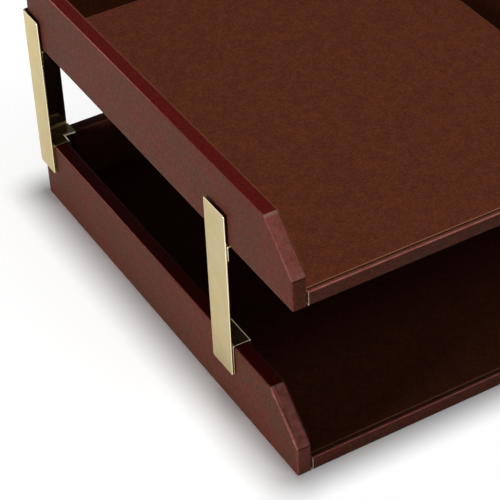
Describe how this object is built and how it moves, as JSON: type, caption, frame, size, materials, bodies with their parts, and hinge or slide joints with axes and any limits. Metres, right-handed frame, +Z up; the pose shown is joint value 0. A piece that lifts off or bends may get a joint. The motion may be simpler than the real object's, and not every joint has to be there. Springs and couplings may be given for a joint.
{
  "type": "desk letter tray",
  "caption": "Two-tier front-opening letter tray: leather-covered trays with sloped side ends, the upper one carried on folded brass posts that clip over the lower walls.",
  "frame": {"origin": "on the desk, under the middle of the whole object", "axes": "+Z up, -Y out of the open front, +X to the right seen from the front"},
  "size_m": [0.2732, 0.3396, 0.1788],
  "materials": {
    "leather": "matt burgundy-brown leather with a fine grain and lighter rubbed edges",
    "suede": "brown suede-like lining, napped",
    "fibreboard": "raw fibreboard",
    "felt": "dark brown felt",
    "brass": "satin, pale gold"
  },
  "bodies": {
    "lower_tray": {"lower_base_board": "fibreboard", "lower_front_strip": "fibreboard", "lower_back_board": "fibreboard", "lower_left_side_board": "fibreboard", "lower_right_side_board": "fibreboard", "lower_front_lip_leather": "leather", "lower_back_leather": "leather", "lower_left_side_leather": "leather", "lower_right_side_leather": "leather", "lower_back_lining": "suede", "lower_left_side_lining": "suede", "lower_right_side_lining": "suede", "lower_floor_lining": "suede", "lower_felt_base": "felt"},
    "upper_tray": {"upper_base_board": "fibreboard", "upper_front_strip": "fibreboard", "upper_back_board": "fibreboard", "upper_left_side_board": "fibreboard", "upper_right_side_board": "fibreboard", "upper_front_lip_leather": "leather", "upper_back_leather": "leather", "upper_left_side_leather": "leather", "upper_right_side_leather": "leather", "upper_back_lining": "suede", "upper_left_side_lining": "suede", "upper_right_side_lining": "suede", "upper_floor_lining": "suede", "upper_felt_base": "felt"},
    "left_front_post": {"left_front_post_plate": "brass", "left_front_post_clip": "brass", "left_front_post_shelf": "brass"},
    "left_rear_post": {"left_rear_post_corner_plate": "brass", "left_rear_post_side_clip": "brass", "left_rear_post_back_clip": "brass", "left_rear_post_side_shelf": "brass", "left_rear_post_back_shelf": "brass"},
    "right_front_post": {"right_front_post_plate": "brass", "right_front_post_clip": "brass", "right_front_post_shelf": "brass"},
    "right_rear_post": {"right_rear_post_corner_plate": "brass", "right_rear_post_side_clip": "brass", "right_rear_post_back_clip": "brass", "right_rear_post_side_shelf": "brass", "right_rear_post_back_shelf": "brass"}
  },
  "joints": [
    {"name": "left_rear_post_lift", "type": "slide", "parent": "lower_tray", "child": "left_rear_post", "axis": [0, 0, 1], "range_m": [0, 0.03]},
    {"name": "right_rear_post_lift", "type": "slide", "parent": "lower_tray", "child": "right_rear_post", "axis": [0, 0, 1], "range_m": [0, 0.03]},
    {"name": "left_front_post_lift", "type": "slide", "parent": "lower_tray", "child": "left_front_post", "axis": [0, 0, 1], "range_m": [0, 0.03]},
    {"name": "right_front_post_lift", "type": "slide", "parent": "lower_tray", "child": "right_front_post", "axis": [0, 0, 1], "range_m": [0, 0.03]},
    {"name": "upper_tray_lift", "type": "slide", "parent": "left_rear_post", "child": "upper_tray", "axis": [0, 0, 1], "range_m": [0, 0.03]}
  ],
  "couplings": [
    {"joint": "right_rear_post_lift", "follows": "left_rear_post_lift", "ratio": 1},
    {"joint": "left_front_post_lift", "follows": "left_rear_post_lift", "ratio": 1},
    {"joint": "right_front_post_lift", "follows": "left_rear_post_lift", "ratio": 1}
  ]
}
